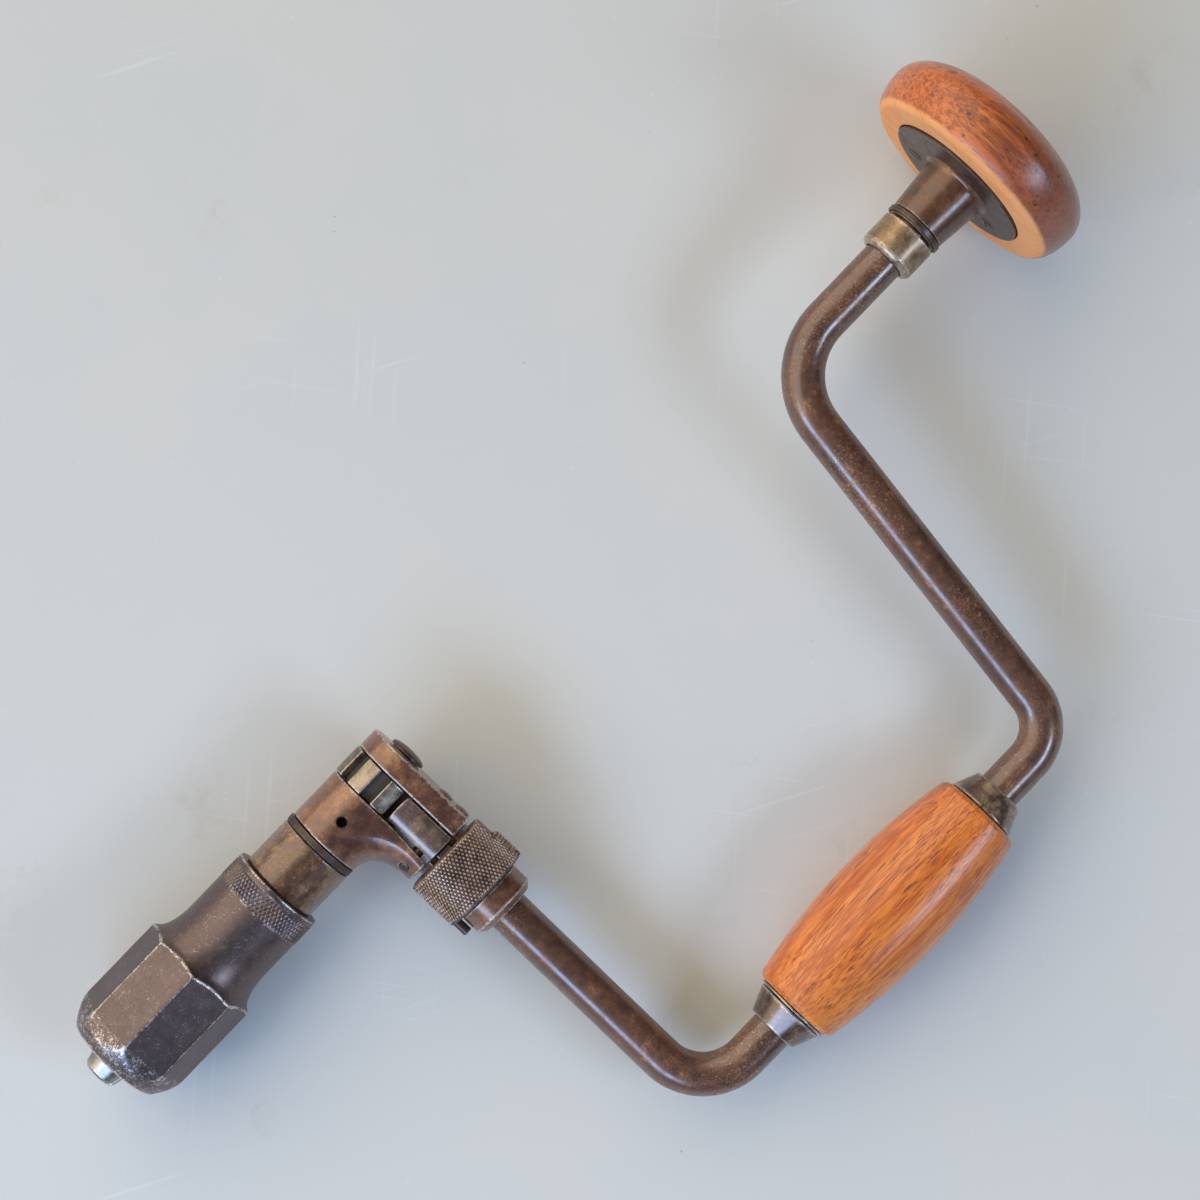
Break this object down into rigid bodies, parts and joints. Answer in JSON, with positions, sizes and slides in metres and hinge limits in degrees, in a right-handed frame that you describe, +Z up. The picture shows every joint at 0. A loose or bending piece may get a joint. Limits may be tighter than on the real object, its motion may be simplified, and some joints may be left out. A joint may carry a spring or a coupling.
{
  "type": "ratchet brace",
  "caption": "Hand-cranked ratchet drill brace with a bent steel crank, turning wooden head and grip, knurled ratchet selector and a screw-down chuck with an octagonal nose.",
  "frame": {"origin": "on the table, under the middle of the part's box", "axes": "+Z up from the table, +X along the main axis from the chuck to the head as seen from above, the crank towards -Y"},
  "size_m": [0.369, 0.1772, 0.0677],
  "materials": {
    "patina_steel": "dark brown patina, satin",
    "bracket_steel": "mottled brown patina, satin",
    "shell_steel": "worn dark grey-brown, matte",
    "bright_steel": "bare bright steel",
    "worn_nickel": "worn plating",
    "dark_steel": "dark, satin",
    "grip_wood": "varnished open-grain hardwood",
    "pad_wood": "worn varnished hardwood"
  },
  "bodies": {
    "frame": {"crank_rod": "patina_steel", "arm_shank": "bracket_steel", "arm_collar": "bracket_steel", "arm_pin": "dark_steel", "lower_bracket": "bracket_steel", "upper_plate": "bracket_steel", "plate_rivet_front": "bracket_steel", "plate_rivet_rear": "bracket_steel", "pawl_pin_upper": "dark_steel", "pawl_pin_lower": "dark_steel", "pawl_spring_upper": "bright_steel", "pawl_spring_lower": "bright_steel", "detent_ball": "bright_steel", "detent_spring": "bright_steel", "ferrule_lower": "patina_steel", "ferrule_upper": "patina_steel", "grip_washer": "bright_steel", "bearing_collar": "worn_nickel", "stem_nut": "dark_steel", "bearing_ball_1": "bright_steel", "bearing_ball_2": "bright_steel", "bearing_ball_3": "bright_steel", "bearing_ball_4": "bright_steel", "bearing_ball_5": "bright_steel", "bearing_ball_6": "bright_steel", "bearing_ball_7": "bright_steel", "bearing_ball_8": "bright_steel"},
    "head": {"head_quill": "dark_steel", "quill_band": "bright_steel", "head_pad": "pad_wood", "flange_screw_1": "dark_steel", "flange_screw_2": "dark_steel", "flange_screw_3": "dark_steel"},
    "grip": {"grip": "grip_wood"},
    "selector": {"selector_ring": "dark_steel", "selector_lug": "dark_steel"},
    "pawl_upper": {"pawl_upper": "dark_steel"},
    "pawl_lower": {"pawl_lower": "dark_steel"},
    "spindle": {"spindle": "bracket_steel", "ratchet_wheel": "bright_steel", "wheel_key": "dark_steel", "dust_ring": "dark_steel", "spindle_cap": "bracket_steel"},
    "shell": {"chuck_shell": "shell_steel"},
    "jaw_a": {"jaw_a": "bright_steel"},
    "jaw_b": {"jaw_b": "bright_steel"}
  },
  "joints": [
    {"name": "head_spin", "type": "hinge", "parent": "frame", "child": "head", "pos_m": [0.15153, 0.05476, 0.03299], "axis": [0.999, 0, 0.0458], "continuous": true},
    {"name": "grip_spin", "type": "hinge", "parent": "frame", "child": "grip", "pos_m": [0.00086, -0.07191, 0.01687], "axis": [0.999, 0, 0.0458], "continuous": true},
    {"name": "chuck_spin", "type": "hinge", "parent": "frame", "child": "spindle", "pos_m": [-0.07323, 0.05476, 0.02268], "axis": [0.999, 0, 0.0458], "continuous": true},
    {"name": "selector_turn", "type": "hinge", "parent": "frame", "child": "selector", "pos_m": [-0.07312, 0.02084, 0.02022], "axis": [0.0033, -0.9974, -0.0723], "range_deg": [-40, 40]},
    {"name": "pawl_upper_rock", "type": "hinge", "parent": "frame", "child": "pawl_upper", "pos_m": [-0.07344, 0.03336, 0.02734], "axis": [0.999, 0, 0.0458], "range_deg": [-5.6, 5.6]},
    {"name": "pawl_lower_rock", "type": "hinge", "parent": "frame", "child": "pawl_lower", "pos_m": [-0.07288, 0.03426, 0.01499], "axis": [0.999, 0, 0.0458], "range_deg": [-5.6, 5.6]},
    {"name": "shell_turn", "type": "hinge", "parent": "spindle", "child": "shell", "pos_m": [-0.07323, 0.05476, 0.02268], "axis": [-0.999, 0, -0.0458], "range_deg": [0, 1080]},
    {"name": "jaw_a_slide", "type": "slide", "parent": "spindle", "child": "jaw_a", "axis": [0.9657, 0.1077, 0.2361], "range_m": [0, 0.00925]},
    {"name": "jaw_b_slide", "type": "slide", "parent": "spindle", "child": "jaw_b", "axis": [0.9833, -0.1077, -0.1468], "range_m": [0, 0.00925]}
  ],
  "couplings": [
    {"joint": "pawl_upper_rock", "follows": "selector_turn", "ratio": -0.1375},
    {"joint": "pawl_lower_rock", "follows": "selector_turn", "ratio": -0.1375},
    {"joint": "jaw_a_slide", "follows": "shell_turn", "m_per_rad": 0.00048944},
    {"joint": "jaw_b_slide", "follows": "shell_turn", "m_per_rad": 0.00048944}
  ]
}
